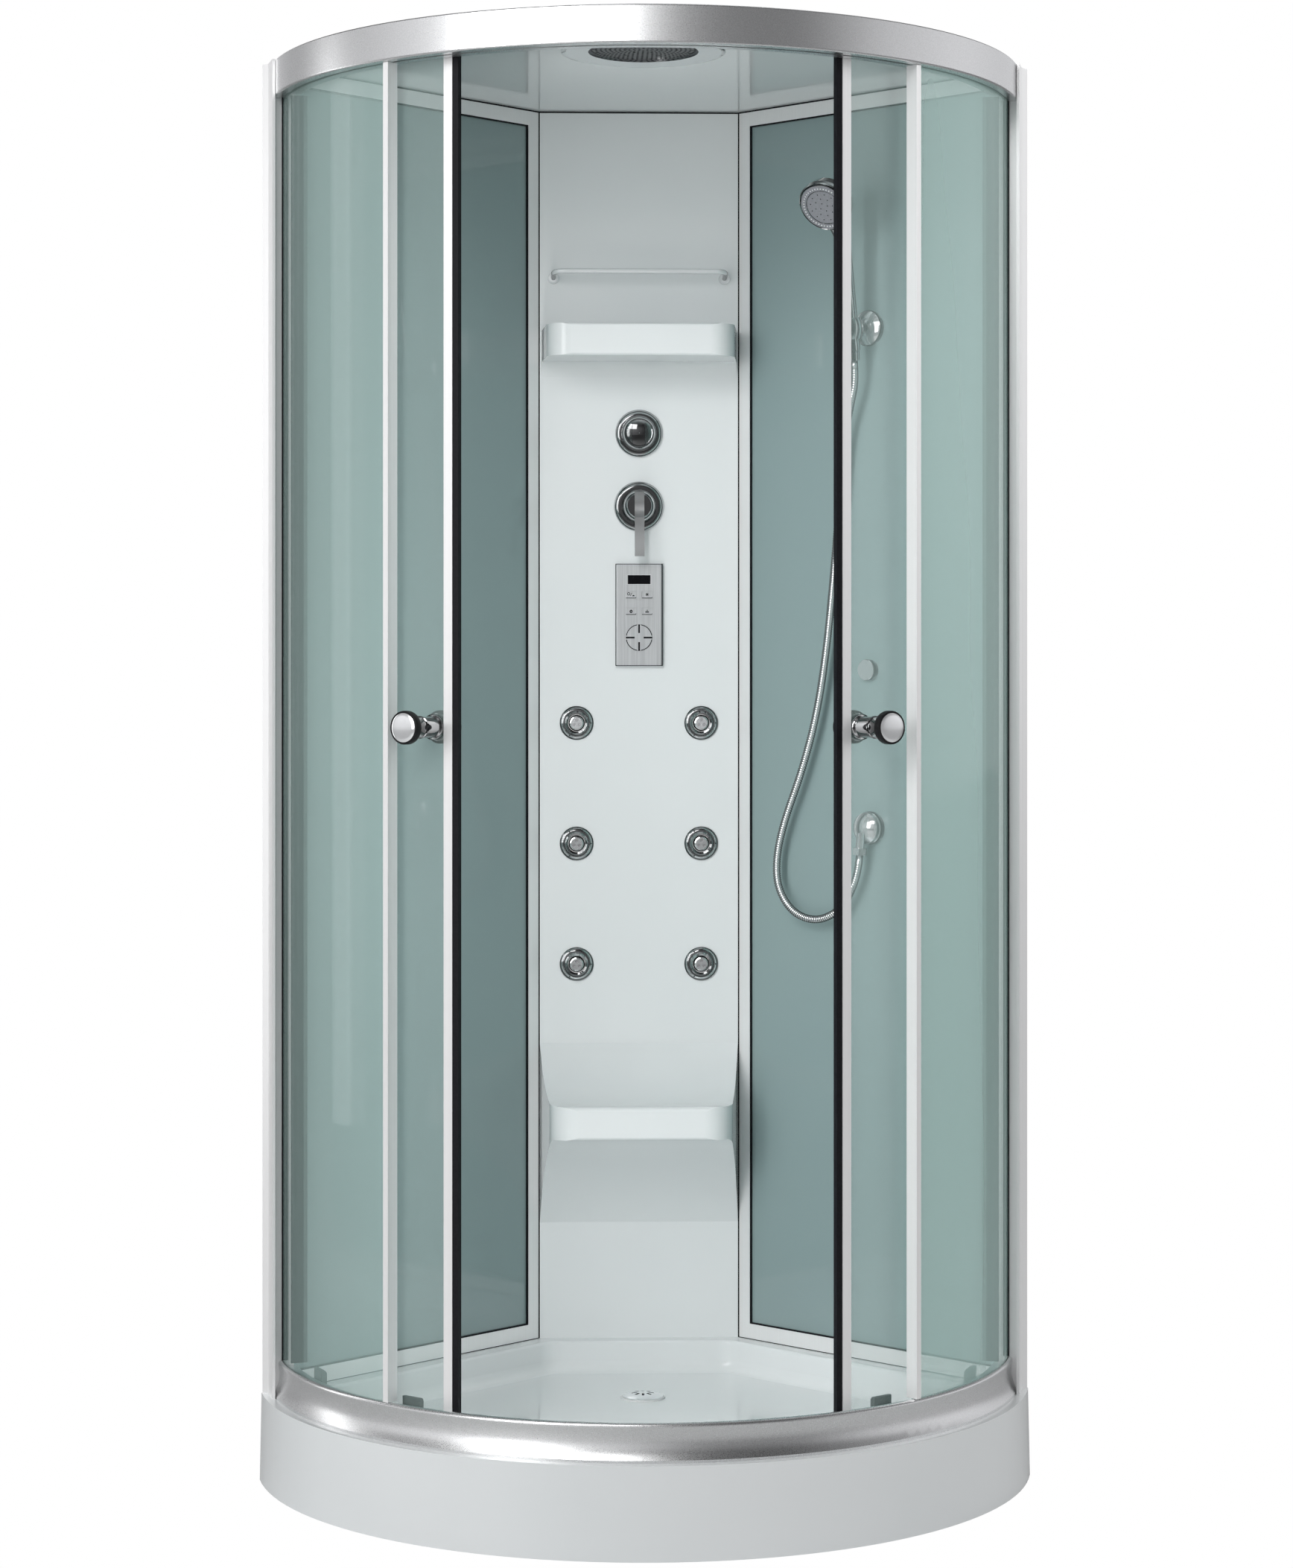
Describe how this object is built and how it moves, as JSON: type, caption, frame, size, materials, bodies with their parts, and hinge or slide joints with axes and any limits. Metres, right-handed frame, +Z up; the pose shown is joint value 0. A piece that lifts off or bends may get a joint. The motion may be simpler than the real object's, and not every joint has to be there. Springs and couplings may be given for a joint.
{
  "type": "steam shower cabin",
  "caption": "Quadrant steam shower cabin: curved sliding glass doors on rails, white tray and column with seat, shelf, jets, mixer and controls, overhead and hand shower.",
  "frame": {"origin": "middle of the footprint on the floor", "axes": "+Z up, the doors face -Y, +X to the right seen from the front"},
  "size_m": [1.202, 1.1012, 2.242],
  "materials": {
    "white": "glossy white acrylic moulding",
    "trap_white": "plain white plastic",
    "painted_steel": "grey paint",
    "zinc": "zinc plated",
    "aluminium": "satin anodised",
    "clear_glass": "clear toughened glass, faintly green",
    "grey_glass": "toughened glass with grey-green backing",
    "black_rubber": "black seal",
    "chrome": "polished chrome",
    "brushed": "brushed upright",
    "display": "dark window",
    "dark_plate": "dark grey, perforated",
    "grey_plastic": "grey spray face",
    "hose_metal": "wound metal",
    "brass": "rough brass",
    "carriage": "dark moulding",
    "roller": "white nylon"
  },
  "bodies": {
    "cabin": {"tray": "white", "tray_frame": "painted_steel", "levelling_feet": "zinc", "waste_trap": "trap_white", "lower_rail": "aluminium", "upper_rail": "aluminium", "posts": "aluminium", "fixed_panes": "clear_glass", "fixed_profiles": "aluminium", "pane_gaskets": "black_rubber", "wall_frame_left": "aluminium", "wall_frame_right": "aluminium", "wall_panels": "grey_glass", "column": "white", "towel_rail": "chrome", "roof": "white", "rain_shower": "white", "rain_plate": "dark_plate", "valve_escutcheons": "chrome", "valve_bodies": "brass", "control_plate": "brushed", "display": "display", "jet_bezels": "chrome", "holder_base": "chrome", "holder_clip": "chrome", "wall_cap": "chrome", "hose_elbow": "chrome", "shower_hose": "hose_metal", "steam_generator": "painted_steel"},
    "left_door": {"door_glass_left": "clear_glass", "door_profile_left": "aluminium", "door_seals_left": "black_rubber", "door_knobs_left": "chrome", "door_carriages_left": "carriage"},
    "roller_left_1_body": {"roller_left_1": "roller"},
    "roller_left_2_body": {"roller_left_2": "roller"},
    "right_door": {"door_glass_right": "clear_glass", "door_profile_right": "aluminium", "door_seals_right": "black_rubber", "door_knobs_right": "chrome", "door_carriages_right": "carriage"},
    "roller_right_1_body": {"roller_right_1": "roller"},
    "roller_right_2_body": {"roller_right_2": "roller"},
    "drain": {"drain_cover": "chrome"},
    "diverter": {"diverter_knob": "chrome"},
    "mixer": {"mixer_boss": "chrome"},
    "lever": {"mixer_lever": "chrome"},
    "power_key": {"key_power": "brushed"},
    "light_key": {"key_light": "brushed"},
    "shower_key": {"key_shower": "brushed"},
    "steam_key": {"key_steam": "brushed"},
    "pad": {"nav_pad": "brushed"},
    "jet_1": {"jet_nozzle_1": "chrome"},
    "jet_2": {"jet_nozzle_2": "chrome"},
    "jet_3": {"jet_nozzle_3": "chrome"},
    "jet_4": {"jet_nozzle_4": "chrome"},
    "jet_5": {"jet_nozzle_5": "chrome"},
    "jet_6": {"jet_nozzle_6": "chrome"},
    "hand_shower": {"handset": "chrome"},
    "spray": {"spray_face": "grey_plastic"}
  },
  "joints": [
    {"name": "left_door_travel", "type": "hinge", "parent": "cabin", "child": "left_door", "pos_m": [0, 0.06061, 1.2], "axis": [0, 0, 1], "range_deg": [-2, 30.6]},
    {"name": "right_door_travel", "type": "hinge", "parent": "cabin", "child": "right_door", "pos_m": [0, 0.06061, 1.2], "axis": [0, 0, -1], "range_deg": [-4.1, 28.5]},
    {"name": "roller_left_1_turn", "type": "hinge", "parent": "left_door", "child": "roller_left_1_body", "pos_m": [-0.34443, -0.38664, 2.1718], "axis": [-0.6101, -0.7923, 0], "range_deg": [-1574, 106]},
    {"name": "roller_left_2_turn", "type": "hinge", "parent": "left_door", "child": "roller_left_2_body", "pos_m": [-0.52191, -0.1545, 2.1718], "axis": [-0.9245, -0.3811, 0], "range_deg": [-1574, 106]},
    {"name": "roller_right_1_turn", "type": "hinge", "parent": "right_door", "child": "roller_right_1_body", "pos_m": [0.32781, -0.39896, 2.1718], "axis": [0.5807, -0.8141, 0], "range_deg": [-214, 1466]},
    {"name": "roller_right_2_turn", "type": "hinge", "parent": "right_door", "child": "roller_right_2_body", "pos_m": [0.51367, -0.17348, 2.1718], "axis": [0.91, -0.4147, 0], "range_deg": [-214, 1466]},
    {"name": "drain_cover_lift", "type": "slide", "parent": "cabin", "child": "drain", "axis": [0, 0, 1], "range_m": [0, 0.03]},
    {"name": "diverter_turn", "type": "hinge", "parent": "cabin", "child": "diverter", "pos_m": [0, 0.34661, 1.658], "axis": [0, -1, 0], "range_deg": [-60, 60]},
    {"name": "mixer_turn", "type": "hinge", "parent": "cabin", "child": "mixer", "pos_m": [0, 0.34261, 1.535], "axis": [0, -1, 0], "range_deg": [-45, 45]},
    {"name": "mixer_lift", "type": "hinge", "parent": "mixer", "child": "lever", "pos_m": [0, 0.32831, 1.555], "axis": [-1, 0, 0], "range_deg": [0, 25]},
    {"name": "press_power", "type": "slide", "parent": "cabin", "child": "power_key", "axis": [0, 1, 0], "range_m": [0, 0.0008], "stiffness_N_per_m": 900},
    {"name": "press_light", "type": "slide", "parent": "cabin", "child": "light_key", "axis": [0, 1, 0], "range_m": [0, 0.0008], "stiffness_N_per_m": 900},
    {"name": "press_shower", "type": "slide", "parent": "cabin", "child": "shower_key", "axis": [0, 1, 0], "range_m": [0, 0.0008], "stiffness_N_per_m": 900},
    {"name": "press_steam", "type": "slide", "parent": "cabin", "child": "steam_key", "axis": [0, 1, 0], "range_m": [0, 0.0008], "stiffness_N_per_m": 900},
    {"name": "press_pad", "type": "slide", "parent": "cabin", "child": "pad", "axis": [0, 1, 0], "range_m": [0, 0.0008], "stiffness_N_per_m": 900},
    {"name": "jet_tilt_1", "type": "hinge", "parent": "cabin", "child": "jet_1", "pos_m": [-0.105, 0.36261, 0.7646], "axis": [1, 0, 0], "range_deg": [-15, 15]},
    {"name": "jet_tilt_2", "type": "hinge", "parent": "cabin", "child": "jet_2", "pos_m": [0.105, 0.36261, 0.7646], "axis": [1, 0, 0], "range_deg": [-15, 15]},
    {"name": "jet_tilt_3", "type": "hinge", "parent": "cabin", "child": "jet_3", "pos_m": [-0.105, 0.36261, 0.9676], "axis": [1, 0, 0], "range_deg": [-15, 15]},
    {"name": "jet_tilt_4", "type": "hinge", "parent": "cabin", "child": "jet_4", "pos_m": [0.105, 0.36261, 0.9676], "axis": [1, 0, 0], "range_deg": [-15, 15]},
    {"name": "jet_tilt_5", "type": "hinge", "parent": "cabin", "child": "jet_5", "pos_m": [-0.105, 0.36261, 1.1706], "axis": [1, 0, 0], "range_deg": [-15, 15]},
    {"name": "jet_tilt_6", "type": "hinge", "parent": "cabin", "child": "jet_6", "pos_m": [0.105, 0.36261, 1.1706], "axis": [1, 0, 0], "range_deg": [-15, 15]},
    {"name": "hand_shower_swivel", "type": "hinge", "parent": "cabin", "child": "hand_shower", "pos_m": [0.33734, 0.13176, 1.8115], "axis": [-0.0984, -0.0984, 0.9903], "range_deg": [-25, 25]},
    {"name": "spray_turn", "type": "hinge", "parent": "hand_shower", "child": "spray", "pos_m": [0.28824, 0.0662, 1.99866], "axis": [-0.4292, -0.6609, -0.6157], "range_deg": [-30, 30]}
  ],
  "couplings": [
    {"joint": "roller_left_1_turn", "follows": "left_door_travel", "ratio": -51.318},
    {"joint": "roller_left_2_turn", "follows": "left_door_travel", "ratio": -51.318},
    {"joint": "roller_right_1_turn", "follows": "right_door_travel", "ratio": 51.318},
    {"joint": "roller_right_2_turn", "follows": "right_door_travel", "ratio": 51.318}
  ]
}
